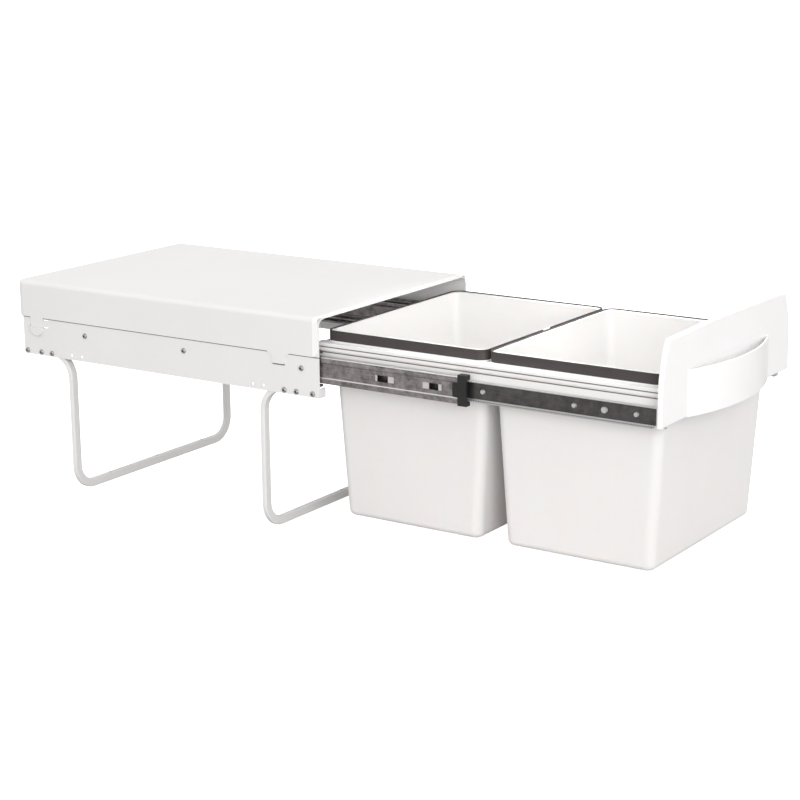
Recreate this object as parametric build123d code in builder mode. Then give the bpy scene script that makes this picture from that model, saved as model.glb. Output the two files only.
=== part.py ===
from build123d import *
from math import asin, degrees
import os

os.makedirs("parts", exist_ok=True)

# Twin-bin pull-out, drawn fully open: +Y points into the cupboard, the drawer slides out along -Y.
# The origin lies on the floor in the middle of the four outer floor screws of the legs.

# Housing: a folded cover over two side panels
unit_width = 346
unit_depth = 505.5
unit_height = 288.5
cover_sheet = 1.5
cover_setback = 1.5
cover_tail = 9
skirt_height = 49.5
cover_edge_radius = 6
cover_corner_radius = 12
skirt_nose_radius = 8
hem_depth = 15
panel_sheet = 1.5
panel_drop = 101.7
panel_ledge = 12
panel_bend = 9.5
panel_return = 12
panel_pocket_radius = 12.6
panel_pocket_edge = 1.2
spare_hole_radius = 2
spare_hole_drop = 95.5
spare_hole_shares = (0.176, 0.21, 0.791, 0.827)
tab_rear_share = 0.948
tab_front_share = 0.1253
seat_gap = 0.3

# Legs: flat bar bent to a U, the ends bent along the panels
front_overhang = 92
rear_overhang = 80
bar_width = 12
bar_depth = 7.2
bar_edge = 2
leg_corner_radius = 30
leg_shoulder_radius = 33
leg_end_rise = 4.7
leg_end_margin = 2.3
floor_hole_pitch = 100
floor_hole_radius = 2.5
front_screw_shares = (0.42, 0.63, 0.91)
rear_screw_shares = (0.38, 0.63, 0.955)

# Telescopic slides, 45 mm series
slide_drop = 66
slide_thickness = 12.7
slide_setback = 3
slide_back_margin = 45
rail_sheet = 1.2
rail_bend = 0.8
outer_rail_height = 45
outer_rail_depth = 11.4
outer_lip = 2.7
middle_rail_height = 33.7
middle_rail_depth = 8.7
middle_rail_inset = 2.2
middle_rail_shortfall = 21
middle_lip = 2.65
middle_recess = 1.3
middle_recess_height = 19.8
drawer_rail_height = 24.9
drawer_rail_depth = 6.7
extra_travel = 5
middle_travel_share = 0.5
end_stop_margin = 23.5
rail_screw_shares = (0.054, 0.473, 0.852)
window_length = 27.2
window_height = 8
window_shares = (0.0965, 0.256)

# Ball cages
cage_sheet = 0.5
cage_gap = 0.25
outer_ball_diameter = 4
inner_ball_diameter = 2.8
outer_cage_arm = 7.6
inner_cage_arm = 4.2
outer_cage_insets = (20, 15)
inner_cage_insets = (19, 10)
balls_per_row = 4
ball_row_share = 0.84

# Carrier of the bins
carrier_sheet = 1
carrier_bend = 1
carrier_drop = 32.8
carrier_band_height = 10
carrier_band_out = 3
carrier_foot_drop = 80.5
carrier_foot = 10
carrier_ledge_reach = 15.3
carrier_tail = 12
bar_flange = 10
rear_bar_height = 26
front_bar_height = 36
front_bar_depth = 7
carrier_nose = 10
middle_bar_depth = 7
middle_bar_height = 20

# Bins and liner rings
bin_gap = 3.3
ring_side_gap = 6
ring_front_gap = 5.4
ring_wall = 2
ring_height = 12.5
ring_corner_radius = 13.5
ring_setback = 3.7
ring_notch_width = 20
ring_notch_depth = 6
ring_notch_offset = 2
bin_wall = 1.5
bin_flange = 2
bin_height = 226
bin_shoulder = 8.3
bin_shoulder_end = 2.8
bin_taper = 7
bin_taper_end = 14
bin_corner_radius = 12
bin_foot_radius = 8
bin_rim_drop = 1.2

# Front panel with its scoop handle
front_side_lap = 1.5
front_side_curve = 15.5
front_top_rise = 27.5
front_foot_drop = 74.3
front_shoulder_drop = 36.5
front_thickness = 5.5
front_wall = 3
front_crown = 2.5
front_edge_radius = 2
handle_side_margin = 62.5
handle_bulge = 21.5
handle_drop = 19.5
handle_lip = 3
handle_pocket = 40
handle_edge = 1.2
handle_crease = 1
handle_crease_margin = 4

# Fasteners
screw_head_radius = 3.7
screw_head_height = 2.2
screw_shank_radius = 2
screw_socket_radius = 1.3
screw_socket_depth = 1.1
screw_dome_share = 0.74
bore_gap = 0.1
leg_screw_bite = 9
drawer_head_height = 1.6
drawer_head_radius = 3.4
drawer_large_head_radius = 4.4
drawer_head_taper = 30
drawer_screw_shares = (0.054, 0.144, 0.231, 0.503)
front_screw_margin = 21.3
front_screw_count = 4
front_screw_drop = 50.5
front_screw_bite = 4
boss_radius = 5

# Places worked out from the sizes above
half_width = unit_width / 2
panel_depth = unit_depth + cover_setback - cover_tail
leg_spacing = panel_depth - front_overhang - rear_overhang
front_y = -(leg_spacing / 2 + front_overhang)
cover_front_y = front_y + cover_setback
cover_back_y = cover_front_y + unit_depth
panel_back_y = front_y + panel_depth
skirt_z = unit_height - skirt_height
panel_top_z = unit_height - cover_sheet
panel_low_z = unit_height - panel_drop
panel_outer_x = half_width - cover_sheet
panel_inner_x = panel_outer_x - panel_sheet
slide_z = unit_height - slide_drop
slide_length = panel_depth - slide_setback - slide_back_margin
slide_back_y = front_y + slide_setback + slide_length
drawer_travel = slide_length + extra_travel
carrier_face_x = panel_inner_x - slide_thickness
carrier_z = unit_height - carrier_drop
ring_span = drawer_travel + carrier_nose + ring_setback - ring_front_gap
ring_length = (ring_span - bin_gap) / 2
ring_width = 2 * (carrier_face_x - ring_side_gap)
bin_pitch = ring_length + bin_gap


def folded_sheet(points, thickness, bend):
    """Cross-section of a folded sheet along the middle of its wall."""
    with BuildLine() as fold:
        FilletPolyline(*points, radius=bend)
    trace(fold.line, line_width=thickness)


def save(part, name):
    part.label = name
    export_step(part, f"parts/{name}.step")


def save_pair(part, name):
    """The piece on the right (+X) and its mirror image on the left."""
    with BuildPart() as mirrored:
        mirror(part, about=Plane.YZ)
    save(part, f"{name}_right")
    save(mirrored.part, f"{name}_left")


# Cover
# Each side has two tabs: the rear one tucks behind a pressed pocket of the panel,
# and the front one bends inwards through a slot.
tab_rear_y = front_y + tab_rear_share * panel_depth
tab_rear_half = 11
tab_rear_drop = 13
tab_rear_tip = 5
tab_front_y = front_y + tab_front_share * panel_depth
tab_front_half = 9.4
tab_front_spread = 17
tab_front_slope = 6
tab_front_drop = 14.5
tab_rear_z = skirt_z - tab_rear_drop
tab_front_z = skirt_z - tab_front_drop
hem_half = panel_outer_x - panel_ledge - seat_gap


def cover_block(inset, reach):
    width = unit_width - 2 * inset
    depth = unit_depth - inset + reach
    with BuildPart() as block:
        with BuildSketch(Plane.XY.offset(skirt_z - reach)):
            with Locations((0, cover_back_y - inset - depth / 2)):
                Rectangle(width, depth)
        extrude(amount=skirt_height + reach - inset)
        fillet(block.edges().filter_by(Axis.Z).group_by(Axis.Y)[-1], cover_corner_radius - inset)
        crown_edges = block.faces().sort_by(Axis.Z)[-1].edges().sort_by(Axis.Y)
        fillet(crown_edges[1:], cover_edge_radius - inset)
    return block.part


with BuildPart() as cover:
    add(cover_block(0, 0))
    add(cover_block(cover_sheet, cover_sheet), mode=Mode.SUBTRACT)
    nose_edges = cover.edges().filter_by(Axis.X).group_by(Axis.Y)[0].group_by(Axis.Z)[0]
    fillet(nose_edges, skirt_nose_radius)
    with BuildSketch(Plane.XY.offset(unit_height - cover_sheet)):
        with Locations((0, cover_front_y + hem_depth / 2)):
            Rectangle(2 * hem_half, hem_depth)
    extrude(amount=-cover_sheet)
    with BuildSketch(Plane.YZ.offset(panel_outer_x)):
        with BuildLine():
            Polyline(
                (tab_rear_y - tab_rear_half, skirt_z),
                (tab_rear_y - tab_rear_half, tab_rear_z),
                (tab_rear_y - tab_rear_half + tab_rear_tip, tab_rear_z - tab_rear_tip),
                (tab_rear_y + tab_rear_half - tab_rear_tip, tab_rear_z - tab_rear_tip),
                (tab_rear_y + tab_rear_half, tab_rear_z),
                (tab_rear_y + tab_rear_half, skirt_z),
                close=True,
            )
        make_face()
        with BuildLine():
            Polyline(
                (tab_front_y - tab_front_spread, skirt_z),
                (tab_front_y - tab_front_half, skirt_z - tab_front_slope),
                (tab_front_y - tab_front_half, tab_front_z),
                (tab_front_y + tab_front_half, tab_front_z),
                (tab_front_y + tab_front_half, skirt_z - tab_front_slope),
                (tab_front_y + tab_front_spread, skirt_z),
                close=True,
            )
        make_face()
    extrude(amount=cover_sheet)
    with BuildSketch(Plane.YZ.offset(panel_inner_x)):
        with Locations((tab_front_y, tab_front_z + cover_sheet / 2)):
            Rectangle(2 * tab_front_half, cover_sheet)
    extrude(amount=panel_sheet)
    mirror(about=Plane.YZ)
save(cover.part, "cover")

# Side panels
panel_notch_y = cover_back_y - cover_corner_radius - seat_gap
pocket_stand = cover_sheet + seat_gap
pocket_start_y = tab_rear_y - panel_pocket_radius
slot_gap = 0.4
slot_drop = 1.6
slot_height = cover_sheet + 2 * slot_gap + slot_drop
relief_length = 9
relief_width = 1.4
spare_z = unit_height - spare_hole_drop
spare_ys = [front_y + share * panel_depth for share in spare_hole_shares]
leg_end_z = panel_low_z + leg_end_rise
leg_front_y = -leg_spacing / 2
leg_rear_y = leg_spacing / 2
leg_front_reach = front_overhang - leg_end_margin
leg_rear_reach = rear_overhang - leg_end_margin
leg_screw_ys = [leg_front_y - share * leg_front_reach for share in front_screw_shares]
leg_screw_ys += [leg_rear_y + share * leg_rear_reach for share in rear_screw_shares]
rail_screw_ys = [front_y + slide_setback + share * slide_length for share in rail_screw_shares]

with BuildPart() as side_panel:
    with BuildSketch(Plane.XZ.offset(-panel_back_y)):
        folded_sheet(
            (
                (panel_outer_x - panel_ledge, panel_top_z - panel_sheet / 2),
                (panel_outer_x - panel_sheet / 2, panel_top_z - panel_sheet / 2),
                (panel_outer_x - panel_sheet / 2, panel_low_z),
            ),
            panel_sheet,
            panel_bend,
        )
    extrude(amount=panel_depth)
    with BuildSketch(Plane.YZ.offset(panel_outer_x - 2 * panel_ledge)):
        with Locations((panel_notch_y, skirt_z - seat_gap)):
            Rectangle(3 * cover_corner_radius, 2 * skirt_height, align=(Align.MIN, Align.MIN))
    extrude(amount=3 * panel_ledge, mode=Mode.SUBTRACT)
    with BuildSketch(Plane.XZ.offset(-front_y)):
        with Locations((panel_inner_x, panel_low_z)):
            Rectangle(panel_return, panel_return, align=(Align.MAX, Align.MIN))
    extrude(amount=-panel_sheet)
    with BuildSketch(Plane.YZ.offset(panel_outer_x)):
        with BuildLine():
            CenterArc((tab_rear_y, tab_rear_z), panel_pocket_radius, 180, 180)
            Line((pocket_start_y, tab_rear_z), (pocket_start_y + 2 * panel_pocket_radius, tab_rear_z))
        make_face()
    extrude(amount=pocket_stand + panel_sheet)
    fillet(side_panel.faces().sort_by(Axis.X)[-1].edges().filter_by(GeomType.CIRCLE), panel_pocket_edge)
    with BuildSketch(Plane.YZ.offset(panel_inner_x)):
        with BuildLine():
            CenterArc((tab_rear_y, tab_rear_z), panel_pocket_radius - panel_sheet, 180, 180)
            Line(
                (tab_rear_y - panel_pocket_radius + panel_sheet, tab_rear_z),
                (tab_rear_y + panel_pocket_radius - panel_sheet, tab_rear_z),
            )
        make_face()
    extrude(amount=panel_sheet + pocket_stand, mode=Mode.SUBTRACT)
    with BuildSketch(Plane.YZ.offset(panel_inner_x)):
        with Locations((tab_front_y, tab_front_z + (cover_sheet - slot_drop) / 2)):
            Rectangle(2 * (tab_front_half + slot_gap), slot_height)
        relief_y = tab_rear_y - tab_rear_half - relief_length / 2
        with Locations((relief_y, tab_rear_z), (relief_y, skirt_z - 2 * relief_width)):
            Rectangle(relief_length - slot_gap, relief_width)
        with Locations((tab_rear_y + panel_pocket_radius, tab_rear_z + relief_width / 2)):
            Circle(relief_width)
        with Locations(*[(y, spare_z) for y in spare_ys]):
            Circle(spare_hole_radius)
        with Locations(*[(y, leg_end_z) for y in leg_screw_ys]):
            Circle(screw_shank_radius + bore_gap)
        with Locations(*[(y, slide_z) for y in rail_screw_ys]):
            Circle(screw_shank_radius + bore_gap)
    extrude(amount=panel_sheet, mode=Mode.SUBTRACT)
save_pair(side_panel.part, "side_panel")

# Legs
bar_offset = bar_width / 2
leg_x = panel_inner_x - bar_offset
leg_bottom_z = bar_offset


def leg(leg_y, reach):
    """One U-shaped leg; its upper ends run from leg_y along Y by reach, which has a sign."""
    lean = 1 if reach > 0 else -1
    end_y = leg_y + reach
    bend_y = leg_y + lean * leg_shoulder_radius
    bend_z = leg_end_z - leg_shoulder_radius
    with BuildPart() as bar:
        with BuildLine() as route:
            Line((leg_x, end_y, leg_end_z), (leg_x, bend_y, leg_end_z))
            TangentArc(
                (leg_x, bend_y, leg_end_z), (leg_x, leg_y, bend_z), tangent=(0, -lean, 0)
            )
            Line((leg_x, leg_y, bend_z), (leg_x, leg_y, leg_bottom_z + leg_corner_radius))
            TangentArc(
                (leg_x, leg_y, leg_bottom_z + leg_corner_radius),
                (leg_x - leg_corner_radius, leg_y, leg_bottom_z),
                tangent=(0, 0, -1),
            )
            Line((leg_x - leg_corner_radius, leg_y, leg_bottom_z), (0, leg_y, leg_bottom_z))
        with BuildSketch(Plane.XZ.offset(-end_y)):
            with Locations((leg_x, leg_end_z)):
                RectangleRounded(bar_width, bar_depth, bar_edge)
        sweep(path=route.line)
        mirror(about=Plane.YZ)
        with BuildSketch(Plane.XY):
            with Locations((0, leg_y)):
                with GridLocations(floor_hole_pitch, floor_hole_pitch, 3, 1):
                    Circle(floor_hole_radius)
        extrude(amount=bar_width, mode=Mode.SUBTRACT)
        screws = leg_screw_ys[:3] if reach < 0 else leg_screw_ys[3:]
        with BuildSketch(Plane.YZ.offset(panel_inner_x)):
            with Locations(*[(y, leg_end_z) for y in screws]):
                Circle(screw_shank_radius + bore_gap)
        extrude(amount=-(leg_screw_bite + bore_gap), mode=Mode.SUBTRACT)
        with BuildSketch(Plane.YZ.offset(-panel_inner_x)):
            with Locations(*[(y, leg_end_z) for y in screws]):
                Circle(screw_shank_radius + bore_gap)
        extrude(amount=leg_screw_bite + bore_gap, mode=Mode.SUBTRACT)
    return bar.part


save(leg(leg_front_y, -leg_front_reach), "leg_front")
save(leg(leg_rear_y, leg_rear_reach), "leg_rear")


def button_screws(places, seat_x, length):
    """Socket-head screws along X: heads outside seat_x, shanks running inwards by length."""
    dome_height = screw_dome_share * screw_head_height
    dome_radius = screw_dome_share * screw_head_radius
    with BuildPart() as screws:
        for y, z in places:
            with BuildSketch(Plane.XY.offset(z)):
                with BuildLine():
                    Polyline(
                        (seat_x + screw_head_height - screw_socket_depth, y),
                        (seat_x - length, y),
                        (seat_x - length, y + screw_shank_radius),
                        (seat_x, y + screw_shank_radius),
                        (seat_x, y + screw_head_radius),
                    )
                    ThreePointArc(
                        (seat_x, y + screw_head_radius),
                        (seat_x + dome_height, y + dome_radius),
                        (seat_x + screw_head_height, y + screw_socket_radius),
                    )
                    Polyline(
                        (seat_x + screw_head_height, y + screw_socket_radius),
                        (seat_x + screw_head_height - screw_socket_depth, y + screw_socket_radius),
                        (seat_x + screw_head_height - screw_socket_depth, y),
                    )
                make_face()
            revolve(axis=Axis((0, y, z), (1, 0, 0)))
    return screws.part


leg_screw_places = [(y, leg_end_z) for y in leg_screw_ys]
rail_screw_places = [(y, slide_z) for y in rail_screw_ys]
save_pair(button_screws(leg_screw_places, panel_outer_x, panel_sheet + leg_screw_bite), "leg_screws")
save_pair(button_screws(rail_screw_places, panel_outer_x, panel_sheet + rail_sheet), "rail_screws")

# Slides
# Depths are measured from the side panel's inner face towards the drawer.
def depth_x(depth):
    return panel_inner_x - depth


outer_half = (outer_rail_height - rail_sheet) / 2
outer_lip_x = depth_x(outer_rail_depth - rail_sheet / 2)
outer_web_x = depth_x(rail_sheet / 2)
middle_half = (middle_rail_height - rail_sheet) / 2
middle_web_x = depth_x(middle_rail_inset + rail_sheet / 2)
middle_step_x = middle_web_x - middle_recess
middle_lip_x = depth_x(middle_rail_inset + middle_rail_depth - rail_sheet / 2)
recess_half = middle_recess_height / 2
recess_floor_half = recess_half - middle_recess
drawer_half = (drawer_rail_height - rail_sheet) / 2
drawer_web_x = depth_x(slide_thickness - rail_sheet / 2)
drawer_flange_x = depth_x(slide_thickness - drawer_rail_depth)
middle_shift = drawer_travel * middle_travel_share
middle_rail_length = slide_length - middle_rail_shortfall
middle_front_y = front_y + end_stop_margin - middle_shift
middle_back_y = middle_front_y + middle_rail_length
drawer_rail_front_y = front_y - drawer_travel
drawer_rail_back_y = drawer_rail_front_y + slide_length
drawer_screw_ys = [drawer_rail_front_y + share * slide_length for share in drawer_screw_shares]

with BuildPart() as outer_rail:
    with BuildSketch(Plane.XZ.offset(-slide_back_y)):
        folded_sheet(
            (
                (outer_lip_x, slide_z + outer_half + rail_sheet / 2 - outer_lip),
                (outer_lip_x, slide_z + outer_half),
                (outer_web_x, slide_z + outer_half),
                (outer_web_x, slide_z - outer_half),
                (outer_lip_x, slide_z - outer_half),
                (outer_lip_x, slide_z - outer_half - rail_sheet / 2 + outer_lip),
            ),
            rail_sheet,
            rail_bend,
        )
    extrude(amount=slide_length)
    with BuildSketch(Plane.YZ.offset(panel_inner_x)):
        with Locations(*[(y, slide_z) for y in rail_screw_ys]):
            Circle(screw_shank_radius + bore_gap)
    extrude(amount=-rail_sheet, mode=Mode.SUBTRACT)
save_pair(outer_rail.part, "outer_rail")

with BuildPart() as middle_rail:
    with BuildSketch(Plane.XZ.offset(-middle_back_y)):
        folded_sheet(
            (
                (middle_lip_x, slide_z + middle_half + rail_sheet / 2 - middle_lip),
                (middle_lip_x, slide_z + middle_half),
                (middle_web_x, slide_z + middle_half),
                (middle_web_x, slide_z + recess_half),
                (middle_step_x, slide_z + recess_floor_half),
                (middle_step_x, slide_z - recess_floor_half),
                (middle_web_x, slide_z - recess_half),
                (middle_web_x, slide_z - middle_half),
                (middle_lip_x, slide_z - middle_half),
                (middle_lip_x, slide_z - middle_half - rail_sheet / 2 + middle_lip),
            ),
            rail_sheet,
            rail_bend,
        )
    extrude(amount=middle_rail_length)
    with BuildSketch(Plane.YZ.offset(middle_step_x - rail_sheet)):
        with Locations(*[(middle_front_y + share * middle_rail_length, slide_z) for share in window_shares]):
            Rectangle(window_length, window_height)
    extrude(amount=2 * rail_sheet, mode=Mode.SUBTRACT)
save_pair(middle_rail.part, "middle_rail")

# End piece: a plastic collar on the middle rail's front end, with a tongue in the pressed web
end_piece_length = 12
end_piece_grip = 4.5
end_piece_tongue = 12
end_piece_stand = 1.95
end_piece_web = 0.6
end_piece_opening = 13.05
end_piece_throat = 5.2
end_piece_tongue_depth = middle_recess - seat_gap
end_piece_tongue_height = 2 * recess_floor_half - rail_sheet
end_piece_half = middle_rail_height / 2 + end_piece_stand
end_piece_outer_x = depth_x(middle_rail_inset - end_piece_web)
end_piece_width = middle_rail_depth + end_piece_web

with BuildPart() as end_piece:
    with BuildSketch(Plane.XZ.offset(-(middle_front_y + end_piece_grip))):
        with Locations((end_piece_outer_x, slide_z)):
            Rectangle(end_piece_width, 2 * end_piece_half, align=(Align.MAX, Align.CENTER))
    extrude(amount=end_piece_length)
    fillet(end_piece.edges().filter_by(Axis.Y).group_by(Axis.X)[-1], end_piece_web)
    with BuildSketch(Plane.XZ.offset(-(middle_front_y + end_piece_grip))):
        with Locations((depth_x(middle_rail_inset), slide_z)):
            Rectangle(2 * middle_rail_depth, middle_rail_height, align=(Align.MAX, Align.CENTER))
    extrude(amount=end_piece_grip, mode=Mode.SUBTRACT)
    with BuildSketch(Plane.XZ.offset(-middle_front_y)):
        with Locations((depth_x(end_piece_throat), slide_z)):
            Rectangle(2 * middle_rail_depth, 2 * end_piece_opening, align=(Align.MAX, Align.CENTER))
    extrude(amount=end_piece_length, mode=Mode.SUBTRACT)
    with BuildSketch(Plane.XZ.offset(-(middle_front_y + end_piece_tongue))):
        with Locations((depth_x(middle_rail_inset), slide_z)):
            Rectangle(end_piece_tongue_depth, end_piece_tongue_height, align=(Align.MAX, Align.CENTER))
    extrude(amount=end_piece_tongue + end_piece_length - end_piece_grip)
save_pair(end_piece.part, "end_piece")

with BuildPart() as drawer_rail:
    with BuildSketch(Plane.XZ.offset(-drawer_rail_back_y)):
        folded_sheet(
            (
                (drawer_flange_x, slide_z + drawer_half),
                (drawer_web_x, slide_z + drawer_half),
                (drawer_web_x, slide_z - drawer_half),
                (drawer_flange_x, slide_z - drawer_half),
            ),
            rail_sheet,
            rail_bend,
        )
    extrude(amount=slide_length)
    with BuildSketch(Plane.YZ.offset(carrier_face_x)):
        with Locations(*[(y, slide_z) for y in drawer_screw_ys]):
            Circle(screw_shank_radius + bore_gap)
    extrude(amount=rail_sheet, mode=Mode.SUBTRACT)
save_pair(drawer_rail.part, "drawer_rail")

# Ball cages: a U-shaped strip with a row of balls above and below
outer_row = (outer_half - rail_sheet / 2 + middle_rail_height / 2) / 2
inner_row = (middle_half - rail_sheet / 2 + drawer_rail_height / 2) / 2
outer_cage_web_x = depth_x(rail_sheet + cage_gap + cage_sheet / 2)
recess_depth = middle_rail_inset + rail_sheet + middle_recess
inner_cage_web_x = depth_x(recess_depth + cage_gap + cage_sheet / 2)
outer_cage_back_y = middle_back_y - outer_cage_insets[1]
outer_cage_length = outer_cage_back_y - front_y - outer_cage_insets[0]
inner_cage_back_y = drawer_rail_back_y - inner_cage_insets[1]
inner_cage_length = inner_cage_back_y - middle_front_y - inner_cage_insets[0]


def ball_ys(back_y, length):
    pitch = length * ball_row_share / (balls_per_row - 1)
    return [back_y - length / 2 + pitch * (i - (balls_per_row - 1) / 2) for i in range(balls_per_row)]


def cage(web_x, arm, row, back_y, length, ball_diameter, ball_x):
    """The strip of one cage, with a hole round each ball and a window in its web."""
    with BuildPart() as strip:
        with BuildSketch(Plane.XZ.offset(-back_y)):
            folded_sheet(
                (
                    (web_x - arm, slide_z + row),
                    (web_x, slide_z + row),
                    (web_x, slide_z - row),
                    (web_x - arm, slide_z - row),
                ),
                cage_sheet,
                cage_sheet,
            )
        extrude(amount=length)
        with BuildSketch(Plane.XY.offset(slide_z - 2 * row)):
            with Locations(*[(ball_x, y) for y in ball_ys(back_y, length)]):
                Circle(ball_diameter / 2 + 2 * bore_gap)
        extrude(amount=4 * row, mode=Mode.SUBTRACT)
        with BuildSketch(Plane.YZ.offset(web_x - cage_sheet)):
            with Locations((back_y - length / 2, slide_z)):
                Rectangle(length * ball_row_share, row)
        extrude(amount=2 * cage_sheet, mode=Mode.SUBTRACT)
    return strip.part


def balls(row, back_y, length, ball_diameter, ball_x):
    with BuildPart() as rows:
        for side in (-1, 1):
            with Locations(*[(ball_x, y, slide_z + side * row) for y in ball_ys(back_y, length)]):
                Sphere(ball_diameter / 2)
    return rows.part


outer_ball_x = outer_cage_web_x - cage_sheet - 2 * bore_gap - outer_ball_diameter / 2 - cage_gap
inner_ball_x = inner_cage_web_x - cage_sheet - 3 * bore_gap - inner_ball_diameter / 2
outer_run = outer_cage_back_y, outer_cage_length, outer_ball_diameter, outer_ball_x
inner_run = inner_cage_back_y, inner_cage_length, inner_ball_diameter, inner_ball_x
save_pair(cage(outer_cage_web_x, outer_cage_arm, outer_row, *outer_run), "outer_cage")
save_pair(balls(outer_row, *outer_run), "outer_balls")
save_pair(cage(inner_cage_web_x, inner_cage_arm, inner_row, *inner_run), "inner_cage")
save_pair(balls(inner_row, *inner_run), "inner_balls")

# Screws that hold the drawer rails to the carrier, the second one from the front larger
drawer_head_seat_x = carrier_face_x + rail_sheet
drawer_shank_x = carrier_face_x - carrier_sheet

with BuildPart() as drawer_rail_screws:
    for index, y in enumerate(drawer_screw_ys):
        head_radius = drawer_large_head_radius if index == 1 else drawer_head_radius
        with BuildSketch(Plane.YZ.offset(drawer_head_seat_x)):
            with Locations((y, slide_z)):
                Circle(head_radius)
        extrude(amount=drawer_head_height, taper=drawer_head_taper)
        with BuildSketch(Plane.YZ.offset(drawer_shank_x)):
            with Locations((y, slide_z)):
                Circle(screw_shank_radius)
        extrude(amount=drawer_head_seat_x - drawer_shank_x)
save_pair(drawer_rail_screws.part, "drawer_rail_screws")

# Carrier
carrier_back_y = front_y + carrier_tail
carrier_front_y = drawer_rail_front_y - carrier_nose
carrier_web_x = carrier_face_x - carrier_sheet / 2
carrier_band_x = carrier_web_x + carrier_band_out
carrier_ledge_x = carrier_band_x + carrier_sheet / 2 - carrier_ledge_reach
carrier_foot_z = unit_height - carrier_foot_drop + carrier_sheet / 2

with BuildPart() as carrier_rail:
    with BuildSketch(Plane.XZ.offset(-carrier_back_y)):
        folded_sheet(
            (
                (carrier_ledge_x, carrier_z - carrier_sheet / 2),
                (carrier_band_x, carrier_z - carrier_sheet / 2),
                (carrier_band_x, carrier_z - carrier_band_height + carrier_sheet / 2),
                (carrier_web_x, carrier_z - carrier_band_height + carrier_sheet / 2),
                (carrier_web_x, carrier_foot_z),
                (carrier_web_x - carrier_foot, carrier_foot_z),
            ),
            carrier_sheet,
            carrier_bend,
        )
    extrude(amount=carrier_back_y - carrier_front_y)
    with BuildSketch(Plane.YZ.offset(carrier_face_x - carrier_sheet)):
        with Locations(*[(y, slide_z) for y in drawer_screw_ys]):
            Circle(screw_shank_radius + bore_gap)
    extrude(amount=carrier_sheet, mode=Mode.SUBTRACT)
save_pair(carrier_rail.part, "carrier_rail")

bar_half = carrier_face_x - carrier_sheet
bar_z = carrier_z - carrier_sheet
bar_mid_z = bar_z - carrier_sheet / 2
ring_rear_y = front_y + ring_setback
ring_rear_centre = ring_rear_y - ring_length / 2
ring_front_centre = ring_rear_centre - bin_pitch
middle_bar_y = (ring_rear_centre + ring_front_centre) / 2


def cross_bar(points):
    with BuildPart() as bar:
        with BuildSketch(Plane.YZ.offset(-bar_half)):
            folded_sheet(points, carrier_sheet, carrier_bend)
        extrude(amount=2 * bar_half)
    return bar.part


rear_bar_y = carrier_back_y - carrier_sheet / 2
front_bar_y = carrier_front_y + carrier_sheet / 2
middle_bar_half = (middle_bar_depth - carrier_sheet) / 2
rear_bar_points = (
    (carrier_back_y - bar_flange, bar_mid_z),
    (rear_bar_y, bar_mid_z),
    (rear_bar_y, bar_z - rear_bar_height),
)
middle_bar_points = (
    (middle_bar_y - middle_bar_half, bar_z - middle_bar_height),
    (middle_bar_y - middle_bar_half, bar_mid_z),
    (middle_bar_y + middle_bar_half, bar_mid_z),
    (middle_bar_y + middle_bar_half, bar_z - middle_bar_height),
)
front_bar_points = (
    (carrier_front_y + front_bar_depth, bar_mid_z),
    (front_bar_y, bar_mid_z),
    (front_bar_y, bar_z - front_bar_height),
)
save(cross_bar(rear_bar_points), "carrier_rear_bar")
save(cross_bar(middle_bar_points), "carrier_middle_bar")

front_screw_z = unit_height - front_screw_drop
front_screw_spacing = 2 * (bar_half - front_screw_margin) / (front_screw_count - 1)
front_hole_radius = screw_shank_radius + bore_gap

with BuildPart() as carrier_front_bar:
    add(cross_bar(front_bar_points))
    with BuildSketch(Plane.XZ.offset(-carrier_front_y - carrier_sheet)):
        with Locations((0, front_screw_z)):
            with GridLocations(front_screw_spacing, front_screw_spacing, front_screw_count, 1):
                Circle(front_hole_radius)
    extrude(amount=carrier_sheet, mode=Mode.SUBTRACT)
save(carrier_front_bar.part, "carrier_front_bar")

# Bins
ring_low_z = carrier_z + bin_flange
ring_top_z = ring_low_z + ring_height
rim_top_z = ring_top_z - bin_rim_drop
rim_inset = ring_wall + seat_gap
bin_foot_z = carrier_z - bin_height


def rounded_plan(width, length, centre_y, radius):
    with Locations((0, centre_y)):
        RectangleRounded(width, length, radius)


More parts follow.
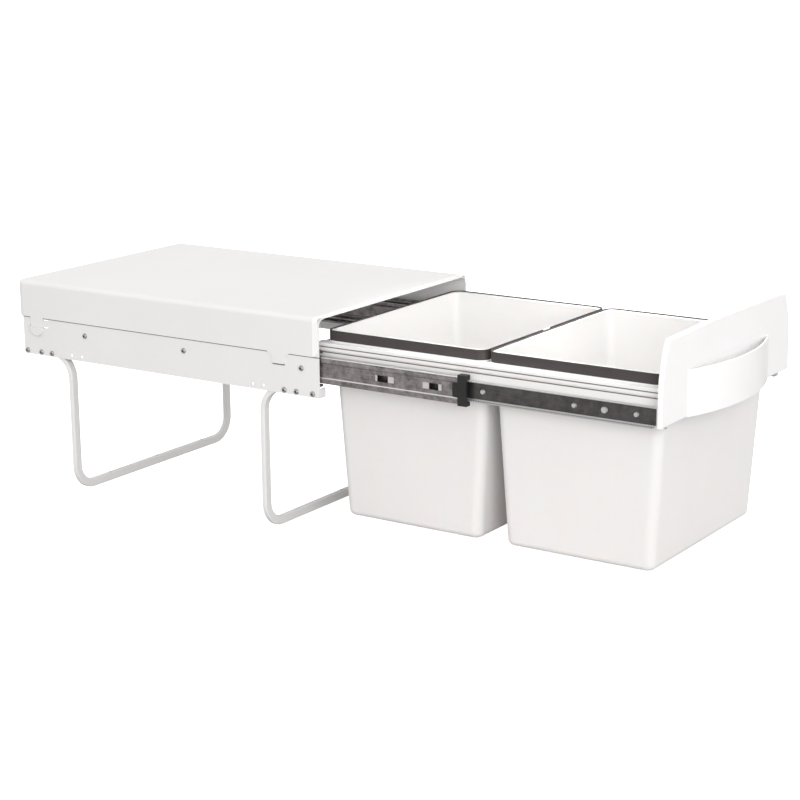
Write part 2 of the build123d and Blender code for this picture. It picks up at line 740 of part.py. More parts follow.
def bin_shell(centre_y):
    """A tapered tub with a foot radius, a flange on the carrier and a rim that stands in the ring."""
    top_width = ring_width - 2 * bin_shoulder
    top_length = ring_length - 2 * bin_shoulder_end
    foot_width = top_width - 2 * bin_taper
    foot_length = top_length - 2 * bin_taper_end
    rim_width = ring_width - 2 * rim_inset
    rim_length = ring_length - 2 * rim_inset
    with BuildPart() as tub:
        with BuildSketch(Plane.XY.offset(bin_foot_z)):
            rounded_plan(foot_width, foot_length, centre_y, bin_corner_radius)
        with BuildSketch(Plane.XY.offset(carrier_z)):
            rounded_plan(top_width, top_length, centre_y, bin_corner_radius)
        loft()
        fillet(tub.faces().sort_by(Axis.Z)[0].edges(), bin_foot_radius)
        with BuildSketch(Plane.XY.offset(carrier_z)):
            rounded_plan(ring_width, ring_length, centre_y, ring_corner_radius)
        extrude(amount=bin_flange)
        with BuildSketch(Plane.XY.offset(ring_low_z)):
            rounded_plan(rim_width, rim_length, centre_y, ring_corner_radius - rim_inset)
        extrude(amount=rim_top_z - ring_low_z)
        with BuildSketch(Plane.XY.offset(carrier_z)):
            rounded_plan(rim_width - 2 * bin_wall, rim_length - 2 * bin_wall, centre_y, bin_foot_radius)
            with Locations((0, centre_y)):
                RectangleRounded(top_width, top_length, bin_corner_radius, mode=Mode.SUBTRACT)
        extrude(amount=rim_top_z - bin_wall - carrier_z, mode=Mode.SUBTRACT)
    with BuildPart() as hollow:
        with BuildSketch(Plane.XY.offset(bin_foot_z + bin_wall)):
            rounded_plan(
                foot_width - 2 * bin_wall, foot_length - 2 * bin_wall, centre_y, bin_corner_radius - bin_wall
            )
        with BuildSketch(Plane.XY.offset(rim_top_z)):
            rounded_plan(
                top_width - 2 * bin_wall, top_length - 2 * bin_wall, centre_y, bin_corner_radius - bin_wall
            )
        loft()
        fillet(hollow.faces().sort_by(Axis.Z)[0].edges(), bin_foot_radius - bin_wall)
    with BuildPart() as shell:
        add(tub.part)
        add(hollow.part, mode=Mode.SUBTRACT)
    return shell.part


save(bin_shell(ring_rear_centre), "bin_rear")
save(bin_shell(ring_front_centre), "bin_front")


def liner_ring(centre_y):
    """A thin wall round the rim, with a finger notch in the middle of its front side."""
    with BuildPart() as ring:
        with BuildSketch(Plane.XY.offset(ring_low_z)):
            rounded_plan(ring_width, ring_length, centre_y, ring_corner_radius)
            with Locations((0, centre_y)):
                RectangleRounded(
                    ring_width - 2 * ring_wall,
                    ring_length - 2 * ring_wall,
                    ring_corner_radius - ring_wall,
                    mode=Mode.SUBTRACT,
                )
        extrude(amount=ring_height)
        with BuildSketch(Plane.XZ.offset(-(centre_y - ring_length / 2 + 2 * ring_wall))):
            with Locations((-ring_notch_offset, ring_top_z)):
                Rectangle(ring_notch_width, 2 * ring_notch_depth)
        extrude(amount=4 * ring_wall, mode=Mode.SUBTRACT)
    return ring.part


save(liner_ring(ring_rear_centre), "liner_ring_rear")
save(liner_ring(ring_front_centre), "liner_ring_front")

# Front panel
front_back_y = carrier_front_y
front_face_y = front_back_y - front_thickness
front_top_z = unit_height + front_top_rise
front_foot_z = unit_height - front_foot_drop
front_shoulder_z = unit_height - front_shoulder_drop
handle_top_z = unit_height - handle_drop
front_half = half_width + front_side_lap
handle_half = front_half - handle_side_margin
handle_radius = (handle_half ** 2 + handle_bulge ** 2) / (2 * handle_bulge)
pocket_half = ((handle_radius - handle_lip) ** 2 - (handle_radius - handle_bulge) ** 2) ** 0.5
pocket_floor_z = handle_top_z - handle_pocket


def front_outline(inset):
    """The panel's outline, inset all round: upright sides that curve in to a crowned top."""
    half = front_half - inset
    top_half = half - front_side_curve
    foot_z = front_foot_z + inset
    side_z = front_top_z - front_crown - inset
    rise = side_z - front_shoulder_z
    side_radius = (rise ** 2 + front_side_curve ** 2) / (2 * front_side_curve)
    turn = degrees(asin(rise / side_radius))
    with BuildLine() as outline:
        Polyline((-half, front_shoulder_z), (-half, foot_z), (half, foot_z), (half, front_shoulder_z))
        CenterArc((half - side_radius, front_shoulder_z), side_radius, 0, turn)
        ThreePointArc((top_half, side_z), (0, side_z + front_crown), (-top_half, side_z))
        CenterArc((side_radius - half, front_shoulder_z), side_radius, 180 - turn, turn)
    make_face(outline.edges())


def bulge_plan(half_chord, depth):
    """Plan of the handle: a shallow circle segment in front of the panel's face."""
    with BuildLine() as plan:
        ThreePointArc((-half_chord, front_face_y), (0, front_face_y - depth), (half_chord, front_face_y))
        Line((half_chord, front_face_y), (-half_chord, front_face_y))
    make_face(plan.edges())


with BuildPart() as front_panel:
    with BuildSketch(Plane.XZ.offset(-front_back_y)):
        front_outline(0)
    extrude(amount=front_thickness)
    fillet(front_panel.faces().sort_by(Axis.Y)[0].edges(), front_edge_radius)
    with BuildSketch(Plane.XY.offset(front_foot_z)):
        bulge_plan(handle_half, handle_bulge)
    extrude(amount=handle_top_z - front_foot_z)
    with BuildSketch(Plane.XY.offset(handle_top_z)):
        bulge_plan(pocket_half, handle_bulge - handle_lip)
    extrude(amount=-handle_pocket, mode=Mode.SUBTRACT)
    with BuildSketch(Plane.XY.offset(handle_top_z)):
        with Locations((0, front_face_y)):
            Rectangle(2 * (pocket_half - handle_crease_margin), 2 * handle_crease)
    extrude(amount=-handle_pocket, mode=Mode.SUBTRACT)
    lip_edges = front_panel.edges().filter_by(GeomType.CIRCLE).filter_by_position(
        Axis.Z, handle_top_z - bore_gap, handle_top_z + bore_gap
    )
    fillet(lip_edges, handle_edge)
    with BuildSketch(Plane.XY.offset(front_foot_z)):
        bulge_plan(pocket_half, handle_bulge - handle_lip)
    extrude(amount=pocket_floor_z - handle_lip - front_foot_z, mode=Mode.SUBTRACT)
    with BuildSketch(Plane.XZ.offset(-front_back_y)):
        front_outline(front_wall)
        with Locations((0, front_screw_z)):
            with GridLocations(front_screw_spacing, front_screw_spacing, front_screw_count, 1):
                Circle(boss_radius, mode=Mode.SUBTRACT)
    extrude(amount=front_thickness - front_wall, mode=Mode.SUBTRACT)
    with BuildSketch(Plane.XZ.offset(-front_back_y)):
        with Locations((0, front_screw_z)):
            with GridLocations(front_screw_spacing, front_screw_spacing, front_screw_count, 1):
                Circle(front_hole_radius)
    extrude(amount=front_screw_bite + bore_gap, mode=Mode.SUBTRACT)
save(front_panel.part, "front_panel")

with BuildPart() as front_panel_screws:
    with BuildSketch(Plane.XZ.offset(-carrier_front_y - carrier_sheet)):
        with Locations((0, front_screw_z)):
            with GridLocations(front_screw_spacing, front_screw_spacing, front_screw_count, 1):
                Circle(drawer_head_radius)
    extrude(amount=-drawer_head_height, taper=drawer_head_taper)
    with BuildSketch(Plane.XZ.offset(-carrier_front_y - carrier_sheet)):
        with Locations((0, front_screw_z)):
            with GridLocations(front_screw_spacing, front_screw_spacing, front_screw_count, 1):
                Circle(screw_shank_radius)
    extrude(amount=carrier_sheet + front_screw_bite)
save(front_panel_screws.part, "front_panel_screws")
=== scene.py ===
import math

import bmesh
import bpy
from mathutils import Matrix, Vector


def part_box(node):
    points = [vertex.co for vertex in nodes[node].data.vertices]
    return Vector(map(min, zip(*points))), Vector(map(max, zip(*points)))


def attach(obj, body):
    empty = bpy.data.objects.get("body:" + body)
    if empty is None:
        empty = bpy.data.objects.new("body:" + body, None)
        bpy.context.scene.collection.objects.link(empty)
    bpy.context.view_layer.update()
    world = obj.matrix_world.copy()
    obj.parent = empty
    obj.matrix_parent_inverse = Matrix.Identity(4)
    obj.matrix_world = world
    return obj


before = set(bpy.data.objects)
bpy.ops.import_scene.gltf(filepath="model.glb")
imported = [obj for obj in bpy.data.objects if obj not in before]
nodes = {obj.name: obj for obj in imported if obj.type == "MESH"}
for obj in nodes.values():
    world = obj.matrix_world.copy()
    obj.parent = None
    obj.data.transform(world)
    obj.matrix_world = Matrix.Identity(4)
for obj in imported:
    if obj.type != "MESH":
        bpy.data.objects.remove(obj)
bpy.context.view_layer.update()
print("frame loaded:", len(nodes), "nodes")


# Camera, where the photograph was taken from

photoView = dict(
    heading=0.9796,  # radians from +Y towards +X
    tilt=0.2456,  # looking down
    roll=-0.0093,
    place=(-2.1344, -1.6926, 0.7938),
    lens=91.12,
    sensor=36,
    farClip=60,
)


def makeCamera(look):
    heading, tilt, roll = look["heading"], look["tilt"], look["roll"]
    forward = Vector((
        math.sin(heading) * math.cos(tilt),
        math.cos(heading) * math.cos(tilt),
        -math.sin(tilt),
    ))
    level = Vector((math.cos(heading), -math.sin(heading), 0))
    upright = level.cross(forward)
    right = math.cos(roll) * level + math.sin(roll) * upright
    up = -math.sin(roll) * level + math.cos(roll) * upright
    data = bpy.data.cameras.new("photoCamera")
    data.lens = look["lens"]
    data.sensor_width = look["sensor"]
    data.clip_end = look["farClip"]
    camera = bpy.data.objects.new("photoCamera", data)
    turn = Matrix((right, up, -forward)).transposed().to_4x4()
    camera.matrix_world = Matrix.Translation(look["place"]) @ turn
    bpy.context.collection.objects.link(camera)
    bpy.context.scene.camera = camera


makeCamera(photoView)
print("camera ready")


# Shader maths: an expression on Tone values adds its own Math nodes


class Tone:
    def __init__(self, finish, socket):
        self.finish = finish
        self.socket = socket

    def maths(self, operation, *values):
        return self.finish.maths(operation, *values)

    def __add__(self, other):
        return self.maths("ADD", self, other)

    def __radd__(self, other):
        return self.maths("ADD", other, self)

    def __sub__(self, other):
        return self.maths("SUBTRACT", self, other)

    def __rsub__(self, other):
        return self.maths("SUBTRACT", other, self)

    def __mul__(self, other):
        return self.maths("MULTIPLY", self, other)

    def __rmul__(self, other):
        return self.maths("MULTIPLY", other, self)

    def __abs__(self):
        return self.maths("ABSOLUTE", self)

    def above(self, edge, blur):
        settings = {"interpolation_type": "SMOOTHSTEP"}
        values = {"Value": self, "From Min": edge - blur, "From Max": edge + blur}
        return self.finish.node("MapRange", settings, values)

    def ramp(self, *stops):
        return self.finish.node("ValToRGB", {"stops": stops}, {"Fac": self})


class Finish:
    def __init__(self, name, fixed):
        self.material = bpy.data.materials.new(name)
        self.material.use_nodes = True
        self.tree = self.material.node_tree
        self.shader = self.tree.nodes["Principled BSDF"]
        for socket, value in fixed.items():
            self.shader.inputs[socket].default_value = value

    def node(self, kind, settings=None, values=None, output=0):
        made = self.tree.nodes.new("ShaderNode" + kind)
        for setting, choice in (settings or {}).items():
            if setting == "stops":
                self.setStops(made.color_ramp.elements, choice)
            else:
                setattr(made, setting, choice)
        for socket, value in (values or {}).items():
            self.feed(made.inputs[socket], value)
        return Tone(self, made.outputs[output])

    def setStops(self, elements, stops):
        while len(elements) < len(stops):
            elements.new(0.5)
        for element, (place, color) in zip(elements, stops):
            element.position = place
            element.color = color

    def maths(self, operation, *values):
        return self.node("Math", {"operation": operation}, dict(enumerate(values)))

    def feed(self, socket, value):
        if isinstance(value, Tone):
            self.tree.links.new(value.socket, socket)
        else:
            socket.default_value = value

    def place(self):  # on the piece, in metres, as in the frame at rest
        return self.node("TexCoord", output="Object")

    def axis(self, name):
        return self.node("SeparateXYZ", values={"Vector": self.place()}, output=name)

    def stretched(self, scale):
        settings = {"operation": "MULTIPLY"}
        return self.node("VectorMath", settings, {0: self.place(), 1: scale})

    def noise(self, scale, detail=2, stretch=None, rough=0.5):
        vector = self.stretched(stretch) if stretch else self.place()
        values = {"Vector": vector, "Scale": scale, "Detail": detail, "Roughness": rough}
        return self.node("TexNoise", values=values)

    def mix(self, share, first, second):
        values = {0: share, 6: first, 7: second}  # a Mix node's colours are sockets 6 and 7
        return self.node("Mix", {"data_type": "RGBA"}, values, output=2)

    def bump(self, height, distance):
        return self.node("Bump", values={"Height": height, "Distance": distance, "Strength": 1})

    def plugShader(self, socket, value):
        self.feed(self.shader.inputs[socket], value)


def shade(level, warmth=0.0):
    return (level * (1 + warmth), level, level * (1 - warmth), 1)


# Finishes

powderCoat = dict(
    shader={"Coat Weight": 0.15, "Coat Roughness": 0.25},
    light=shade(0.84, 0.006),
    dark=shade(0.79, 0.011),
    # painted highlight along the cover's folded front edge
    foldHighlight=shade(0.93),
    # painted shadow for the lines in folds and under the skirt's foot
    seamShadow=(0.17, 0.14, 0.13, 1),
    seamShadowWidth=0.0014,
    shadowLineBlur=0.0002,
    foldHighlightBlur=0.0008,
    patchScale=9,
    peelScale=900,
    speckleScale=2700,
    speckleShare=0.3,
    peelDepth=0.00003,
    rough=0.36,
    roughSpread=0.1,
)


def makePowderCoat(name, coat, foldHighlightEdge=None, seamShadowTops=()):
    finish = Finish(name, coat["shader"])
    patches = finish.noise(coat["patchScale"], detail=3)
    color = finish.mix(patches, coat["light"], coat["dark"])
    if foldHighlightEdge is not None:  # painted highlight: a lighter band along the folded front edge, standing in for the light it catches
        foldHighlight = 1 - finish.axis("Y").above(foldHighlightEdge, coat["foldHighlightBlur"])
        color = finish.mix(foldHighlight, color, coat["foldHighlight"])
    height = finish.axis("Z") if seamShadowTops else None
    for top in seamShadowTops:  # painted shadow: a dark line in a fold, or under the foot of the skirt
        below = 1 - height.above(top, coat["shadowLineBlur"])
        paintedLine = below * height.above(top - coat["seamShadowWidth"], coat["shadowLineBlur"])
        color = finish.mix(paintedLine, color, coat["seamShadow"])
    finish.plugShader("Base Color", color)
    peel = finish.noise(coat["peelScale"])
    speckle = finish.noise(coat["speckleScale"], detail=1)
    finish.plugShader("Roughness", coat["rough"] + coat["roughSpread"] * peel)
    finish.plugShader("Normal", finish.bump(peel + coat["speckleShare"] * speckle, coat["peelDepth"]))
    return finish.material


rolledSteel = dict(
    shader={"Metallic": 0.85},
    light=0.45,
    dark=0.1,
    tint=(1.09, 1, 1.01),
    streakShare=0.22,
    streakStretch=(90, 1.2, 90),
    streakScale=6,
    mottleScale=75,
    mottleRough=0.7,
    darkStop=0.32,
    lightStop=0.72,
    rough=0.34,
    roughMottle=0.14,
    roughStreaks=0.06,
    reliefStreaks=0.5,
    reliefMottle=0.2,
    reliefDepth=0.00002,
    # painted highlight colour for the light lines on the rails' bends and edges
    highlightShade=shade(0.85),
    highlightShare=0.8,
    highlightHalf=0.0006,
    highlightBlur=0.0003,
    # painted dotted highlight along the drawer rail's edges
    dotHighlightPitch=0.0032,
    dotHighlightBlur=0.0002,
    dotHighlightFloor=0.35,
    dotHighlightSoftness=0.4,
)
drawerRolled = dict(rolledSteel, light=0.14, dark=0.06, mottleScale=90)


def tinted(level, tint):
    return (*(level * part for part in tint), 1)


def makeRolledSteel(name, steel, level, dottedHighlight=None, highlightBends=()):
    finish = Finish(name, steel["shader"])
    streaks = finish.noise(steel["streakScale"], detail=4, stretch=steel["streakStretch"])
    mottle = finish.noise(steel["mottleScale"], detail=4, rough=steel["mottleRough"])
    blend = steel["streakShare"] * streaks + (1 - steel["streakShare"]) * mottle
    dark = tinted(steel["dark"] * level, steel["tint"])
    light = tinted(steel["light"] * level, steel["tint"])
    color = blend.ramp((steel["darkStop"], dark), (steel["lightStop"], light))
    height = steel["reliefStreaks"] * streaks + steel["reliefMottle"] * mottle
    for place in highlightBends:  # painted highlight: light lines on the bends, standing in for the light they catch
        offset = abs(finish.axis("Z") - place)
        paintedLine = 1 - offset.above(steel["highlightHalf"], steel["highlightBlur"])
        color = finish.mix(steel["highlightShare"] * paintedLine, color, steel["highlightShade"])
    if dottedHighlight is not None:  # painted highlight: a dotted light line along the two running edges, also raised a little in the bump
        offset = abs(finish.axis("Z") - dottedHighlight["centre"])
        edge = offset.above(dottedHighlight["half"], steel["dotHighlightBlur"])
        wave = finish.maths("SINE", finish.axis("Y") * (2 * math.pi / steel["dotHighlightPitch"]))
        crest = (1 - steel["dotHighlightFloor"]) * wave.above(0, steel["dotHighlightSoftness"])
        highlightDots = edge * (steel["dotHighlightFloor"] + crest)
        color = finish.mix(highlightDots, color, steel["highlightShade"])
        height = height + highlightDots
    finish.plugShader("Base Color", color)
    rough = steel["rough"] + steel["roughMottle"] * mottle
    finish.plugShader("Roughness", rough - steel["roughStreaks"] * streaks)
    finish.plugShader("Normal", finish.bump(height, steel["reliefDepth"]))
    return finish.material


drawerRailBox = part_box("drawer_rail_left")
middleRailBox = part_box("middle_rail_left")
railTop = drawerRailBox[1][2]
slideZ = (drawerRailBox[0][2] + railTop) / 2
slideHighlightPlaces = dict(
    dotHighlightBand=0.0027,  # height of the painted dotted highlight at each edge
    bendDrop=0.0006,  # middle of the top bend, below the middle rail's top
    webDrop=0.0094,  # lower edge of the pressed web, below the slide's middle
)
drawerDottedHighlight = dict(centre=slideZ, half=railTop - slideZ - slideHighlightPlaces["dotHighlightBand"])
middleHighlightBends = (middleRailBox[1][2] - slideHighlightPlaces["bendDrop"], slideZ - slideHighlightPlaces["webDrop"])

plainSteel = dict(
    shader={"Metallic": 0.95},
    light=0.5,
    dark=0.28,
    scratchScale=500,
    scratchRough=0.8,
    scratchDepth=0.00001,
    rough=0.28,
    roughSpread=0.2,
)


def makePlainSteel(name, steel, level):
    finish = Finish(name, steel["shader"])
    scratches = finish.noise(steel["scratchScale"], detail=3, rough=steel["scratchRough"])
    dark, light = shade(steel["dark"] * level), shade(steel["light"] * level)
    finish.plugShader("Base Color", finish.mix(scratches, dark, light))
    finish.plugShader("Roughness", steel["rough"] + steel["roughSpread"] * scratches)
    finish.plugShader("Normal", finish.bump(scratches, steel["scratchDepth"]))
    return finish.material


binPlastic = dict(
    shader={"Subsurface Weight": 0.08, "Subsurface Scale": 0.003},
    light=shade(0.82, 0.008),
    dark=shade(0.79, 0.013),
    grainScale=2200,
    flowStretch=(1, 1, 0.15),
    flowScale=14,
    flowRelief=0.5,
    rough=0.42,
    roughSpread=0.12,
    reliefDepth=0.00002,
)


def makeBinPlastic(name, plastic):
    finish = Finish(name, plastic["shader"])
    flow = finish.noise(plastic["flowScale"], detail=3, stretch=plastic["flowStretch"])
    grain = finish.noise(plastic["grainScale"], detail=1)
    finish.plugShader("Base Color", finish.mix(flow, plastic["light"], plastic["dark"]))
    finish.plugShader("Roughness", plastic["rough"] + plastic["roughSpread"] * grain)
    relief = grain + plastic["flowRelief"] * flow
    finish.plugShader("Normal", finish.bump(relief, plastic["reliefDepth"]))
    return finish.material


ringPlastic = dict(
    shader={"Specular IOR Level": 0.4},
    base=(0.043, 0.036, 0.035, 1),
    worn=(0.08, 0.069, 0.067, 1),
    grainScale=1500,
    cloudScale=25,
    rough=0.45,
    roughSpread=0.2,
    reliefDepth=0.00004,
)
endPlastic = dict(
    ringPlastic,
    base=(0.012, 0.012, 0.012, 1),
    worn=(0.03, 0.03, 0.03, 1),
    grainScale=1200,
)


def makeSmallPlastic(name, plastic):
    finish = Finish(name, plastic["shader"])
    grain = finish.noise(plastic["grainScale"])
    cloud = finish.noise(plastic["cloudScale"], detail=3)
    finish.plugShader("Base Color", finish.mix(cloud * grain, plastic["base"], plastic["worn"]))
    finish.plugShader("Roughness", plastic["rough"] + plastic["roughSpread"] * grain)
    finish.plugShader("Normal", finish.bump(grain, plastic["reliefDepth"]))
    return finish.material


frontPlastic = dict(
    shader={
        "Coat Weight": 0.3,
        "Coat Roughness": 0.12,
        "Subsurface Weight": 0.05,
        "Subsurface Scale": 0.003,
    },
    light=shade(0.92),
    dark=shade(0.89),
    # painted light: lighter inside the handle pocket, lifting the pocket's shade
    pocket=shade(0.99),
    waveScale=20,
    waveRelief=0.6,
    grainScale=1800,
    grainRelief=0.2,
    rough=0.3,
    roughSpread=0.06,
    reliefDepth=0.00003,
)


def insidePocket(finish, pocket):
    x, y, z = finish.axis("X"), finish.axis("Y"), finish.axis("Z")
    forward = y - pocket["centreY"]
    arc = (x * x + forward * forward).above(pocket["radius"] ** 2, pocket["arcBlur"])
    heights = abs(z - pocket["centreZ"]).above(pocket["halfZ"], pocket["highlightBlur"])
    back = y.above(pocket["backY"], pocket["highlightBlur"])
    return (1 - arc) * (1 - heights) * (1 - back)


def makeFrontPlastic(name, plastic, pocket):
    finish = Finish(name, plastic["shader"])
    wave = finish.noise(plastic["waveScale"])
    grain = finish.noise(plastic["grainScale"], detail=1)
    color = finish.mix(wave, plastic["light"], plastic["dark"])
    # painted light inside the handle pocket
    pocketPaintedLight = insidePocket(finish, pocket)
    finish.plugShader("Base Color", finish.mix(pocketPaintedLight, color, plastic["pocket"]))
    finish.plugShader("Roughness", plastic["rough"] + plastic["roughSpread"] * grain)
    relief = plastic["waveRelief"] * wave + plastic["grainRelief"] * grain
    finish.plugShader("Normal", finish.bump(relief, plastic["reliefDepth"]))
    return finish.material


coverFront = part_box("cover")[0][1]
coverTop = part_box("cover")[1][2]
coatMarks = dict(
    foldHighlightDepth=0.007,
    skirtHeight=0.0495,
    railFolds=(0.0095, 0.0168),  # above the drawer rails' top
)
skirtFoot = coverTop - coatMarks["skirtHeight"]
railFolds = [railTop + rise for rise in coatMarks["railFolds"]]
whiteCoat = makePowderCoat("whitePowderCoat", powderCoat)
carrierCoatShadowed = makePowderCoat("carrierPowderCoatPaintedShadow", powderCoat, seamShadowTops=railFolds)
panelCoatShadowed = makePowderCoat("panelPowderCoatPaintedShadow", powderCoat, seamShadowTops=[skirtFoot])
coverCoatHighlighted = makePowderCoat("coverPowderCoatPaintedHighlight", powderCoat, coverFront + coatMarks["foldHighlightDepth"])

middleSteelHighlighted = makeRolledSteel("middleRailSteelPaintedHighlight", rolledSteel, 1, highlightBends=middleHighlightBends)
outerSteel = makeRolledSteel("outerRailSteel", rolledSteel, 0.8)
drawerSteelHighlighted = makeRolledSteel("drawerRailSteelPaintedHighlight", drawerRolled, 1, drawerDottedHighlight)
screwSteel = makePlainSteel("screwSteel", plainSteel, 1)
cageSteel = makePlainSteel("cageSteel", plainSteel, 0.7)
ballSteel = makePlainSteel("ballSteel", plainSteel, 1.3)
rivetSteel = makePlainSteel("rivetSteel", plainSteel, 1.8)

binWhite = makeBinPlastic("binPlastic", binPlastic)
ringGrey = makeSmallPlastic("ringPlastic", ringPlastic)
endBlack = makeSmallPlastic("endPiecePlastic", endPlastic)

frontTip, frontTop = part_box("front_panel")[0][1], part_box("front_panel")[1][2]
handle = dict(
    lipRadius=0.3025,  # outer face of the lip
    lipWall=0.0015,
    pocketDepth=0.0235,  # from the tip of the lip
    pocketDrop=0.067,  # middle of the pocket, below the panel's top
    pocketHeight=0.041,
)
handlePocket = dict(
    centreY=frontTip + handle["lipRadius"],
    radius=handle["lipRadius"] - handle["lipWall"],
    backY=frontTip + handle["pocketDepth"],
    centreZ=frontTop - handle["pocketDrop"],
    halfZ=handle["pocketHeight"] / 2,
    arcBlur=0.0002,
    highlightBlur=0.0005,
)
frontWhitePaintedLight = makeFrontPlastic("frontPanelPlasticPaintedLight", frontPlastic, handlePocket)

finishOf = {
    "cover": coverCoatHighlighted,
    "side_panel": panelCoatShadowed,
    "leg": whiteCoat,
    "carrier": whiteCoat,
    "carrier_rail": carrierCoatShadowed,
    "outer_rail": outerSteel,
    "middle_rail": middleSteelHighlighted,
    "drawer_rail_screws": rivetSteel,
    "drawer_rail": drawerSteelHighlighted,
    "outer_cage": cageSteel,
    "inner_cage": cageSteel,
    "outer_balls": ballSteel,
    "inner_balls": ballSteel,
    "leg_screws": screwSteel,
    "rail_screws": screwSteel,
    "front_panel_screws": screwSteel,
    "front_panel": frontWhitePaintedLight,
    "end_piece": endBlack,
    "bin": binWhite,
    "liner_ring": ringGrey,
}


def finishFor(name):
    fitting = [start for start in finishOf if name.startswith(start)]
    return finishOf[max(fitting, key=len)]


for name, node in nodes.items():
    node.data.materials.clear()
    node.data.materials.append(finishFor(name))
print("finishes ready:", len(set(finishOf.values())))


# Small pieces that only the scene has


def makePiece(name, bodyOf, mesh, material):
    data = bpy.data.meshes.new(name)
    mesh.to_mesh(data)
    mesh.free()
    piece = bpy.data.objects.new(name, data)
    bpy.context.collection.objects.link(piece)
    data.materials.append(material)
    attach(piece, bodyOf)


def solidsOf(node, weldGap):  # the corner points of each separate solid
    mesh = bmesh.new()
    mesh.from_mesh(node.data)
    bmesh.ops.remove_doubles(mesh, verts=mesh.verts, dist=weldGap)
    waiting = set(mesh.verts)
    while waiting:
        reached = [waiting.pop()]
        for vert in reached:
            near = {edge.other_vert(vert) for edge in vert.link_edges} & waiting
            waiting -= near
            reached.extend(near)
        yield [node.matrix_world @ vert.co for vert in reached]
    mesh.free()


def boxOf(points):
    low = Vector(min(point[axis] for point in points) for axis in range(3))
    high = Vector(max(point[axis] for point in points) for axis in range(3))
    return low, high


# painted shadow: a near-black hexagon on each button head, standing in for the shade inside its hex
# socket
socket = dict(radius=0.00135, depth=0.0006, stand=0.00001, sides=6, weldGap=0.00001)
socketShadowTone = dict(
    ringPlastic,
    base=(0.02, 0.02, 0.02, 1),
    worn=(0.06, 0.058, 0.055, 1),
)


def addSocket(mesh, low, high, shape):
    side = 1 if high.x + low.x > 0 else -1
    outer = high.x if side > 0 else low.x
    middle = (low + high) / 2
    along = outer + side * (shape["stand"] - shape["depth"] / 2)
    turn = Matrix.Rotation(math.pi / 2, 4, "Y")
    bmesh.ops.create_cone(
        mesh,
        cap_ends=True,
        segments=shape["sides"],
        radius1=shape["radius"],
        radius2=shape["radius"],
        depth=shape["depth"],
        matrix=Matrix.Translation((along, middle.y, middle.z)) @ turn,
    )


buttonHeads = [name for name in nodes if name.startswith(("leg_screws", "rail_screws"))]
sockets = bmesh.new()
for name in buttonHeads:
    for points in solidsOf(nodes[name], socket["weldGap"]):
        addSocket(sockets, *boxOf(points), socket)
socketShade = makeSmallPlastic("socketShadow", socketShadowTone)
makePiece("screw_socket_shadows", "frame", sockets, socketShade)

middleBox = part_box("middle_rail_right")
middleFront = middleBox[0][1]
middleLength = middleBox[1][1] - middleFront
block = dict(height=0.0078, depth=0.001, webDepth=0.0013, behindWeb=0.0003)
blockX = middleBox[1][0] - block["webDepth"] - block["behindWeb"] - block["depth"] / 2
blockPlastic = dict(
    endPlastic,
    base=(0.5, 0.48, 0.47, 1),
    worn=(0.65, 0.64, 0.63, 1),
)
windows = (  # share of the rail's length, then each block's offset and length
    (0.256, ((0.0124, 0.0024), (-0.0092, 0.0088))),
    (0.0965, ((0.0092, 0.0088), (-0.0112, 0.0048))),
)


def addBlock(mesh, centre, size):
    place = Matrix.Translation(centre) @ Matrix.Diagonal((*size, 1))
    bmesh.ops.create_cube(mesh, size=1, matrix=place)


blocks = bmesh.new()
for side in (-1, 1):
    for share, places in windows:
        windowY = middleFront + share * middleLength
        for offset, length in places:
            centre = (side * blockX, windowY + offset, slideZ)
            addBlock(blocks, centre, (block["depth"], length, block["height"]))
blockShade = makeSmallPlastic("blockPlastic", blockPlastic)
makePiece("window_blocks", "middle", blocks, blockShade)
print("small pieces ready")


# Floor and light

room = dict(
    half=12,
    backdropAway=9,
    paperTint=(1, 1, 1, 1),
    paperGlow=1.1,
    paperRough=0.8,
    paperSpread=0.1,
    paperScale=3,
    bounceShade=shade(0.55),
    bounceDrop=0.002,
)
sky = dict(tint=(1, 0.985, 0.98, 1), strength=0.98)
keyLamp = dict(place=(-2.5, -3, 1.25), target=(0, -0.25, 0.2), size=2, power=54, spread=180)
binLamp = dict(place=(0, -0.5, 1.9), target=(0, -0.5, 0.05), size=0.3, power=0.75, spread=12)


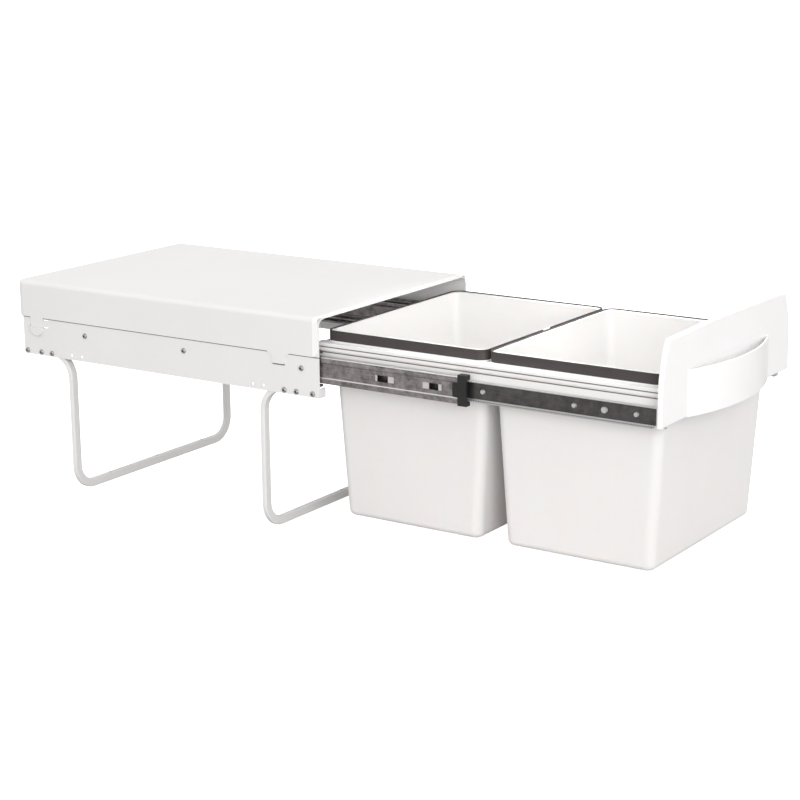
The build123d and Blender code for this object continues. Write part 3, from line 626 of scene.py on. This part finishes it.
def makeSheet(name, corners, glow, room):
    mesh = bpy.data.meshes.new(name)
    mesh.from_pydata(corners, [], [(0, 1, 2, 3)])
    sheet = bpy.data.objects.new(name, mesh)
    bpy.context.collection.objects.link(sheet)
    finish = Finish(name + "Paper", {"Emission Color": room["paperTint"], "Emission Strength": glow})
    finish.plugShader("Base Color", room["bounceShade"])
    grain = finish.noise(room["paperScale"])
    finish.plugShader("Roughness", room["paperRough"] + room["paperSpread"] * grain)
    mesh.materials.append(finish.material)
    return sheet


def keepForCamera(sheet):  # seen, but without a part in the light
    sheet.visible_diffuse = False
    sheet.visible_glossy = False
    sheet.visible_transmission = False
    sheet.visible_shadow = False


def flatCorners(half, z):
    return [(-half, -half, z), (half, -half, z), (half, half, z), (-half, half, z)]


def makeRoom(room, heading):
    half, away = room["half"], room["backdropAway"]
    toward = Vector((math.sin(heading), math.cos(heading), 0))
    along = Vector((toward.y, -toward.x, 0))
    feet = [toward * away + along * side * half for side in (-1, 1)]
    rise = Vector((0, 0, away))
    wall = [tuple(corner) for corner in (feet[0], feet[1], feet[1] + rise, feet[0] + rise)]
    keepForCamera(makeSheet("floor", flatCorners(half, 0), room["paperGlow"], room))
    keepForCamera(makeSheet("backdrop", wall, room["paperGlow"], room))
    bounce = makeSheet("floorBounce", flatCorners(half, -room["bounceDrop"]), 0, room)
    bounce.visible_camera = False


def makeLamp(name, lamp):
    data = bpy.data.lights.new(name, "AREA")
    data.shape = "DISK"
    data.size = lamp["size"]
    data.energy = lamp["power"]
    data.spread = math.radians(lamp["spread"])
    light = bpy.data.objects.new(name, data)
    light.location = lamp["place"]
    aim = Vector(lamp["target"]) - Vector(lamp["place"])
    light.rotation_euler = aim.to_track_quat("-Z", "Y").to_euler()
    bpy.context.collection.objects.link(light)


def makeSky(sky):
    world = bpy.data.worlds.new("studio")
    world.use_nodes = True
    back = world.node_tree.nodes["Background"]
    back.inputs["Color"].default_value = sky["tint"]
    back.inputs["Strength"].default_value = sky["strength"]
    bpy.context.scene.world = world


makeRoom(room, photoView["heading"])
makeLamp("keyLamp", keyLamp)
makeLamp("binLamp", binLamp)
makeSky(sky)
bpy.context.scene.view_settings.view_transform = "Standard"
print("studio ready")
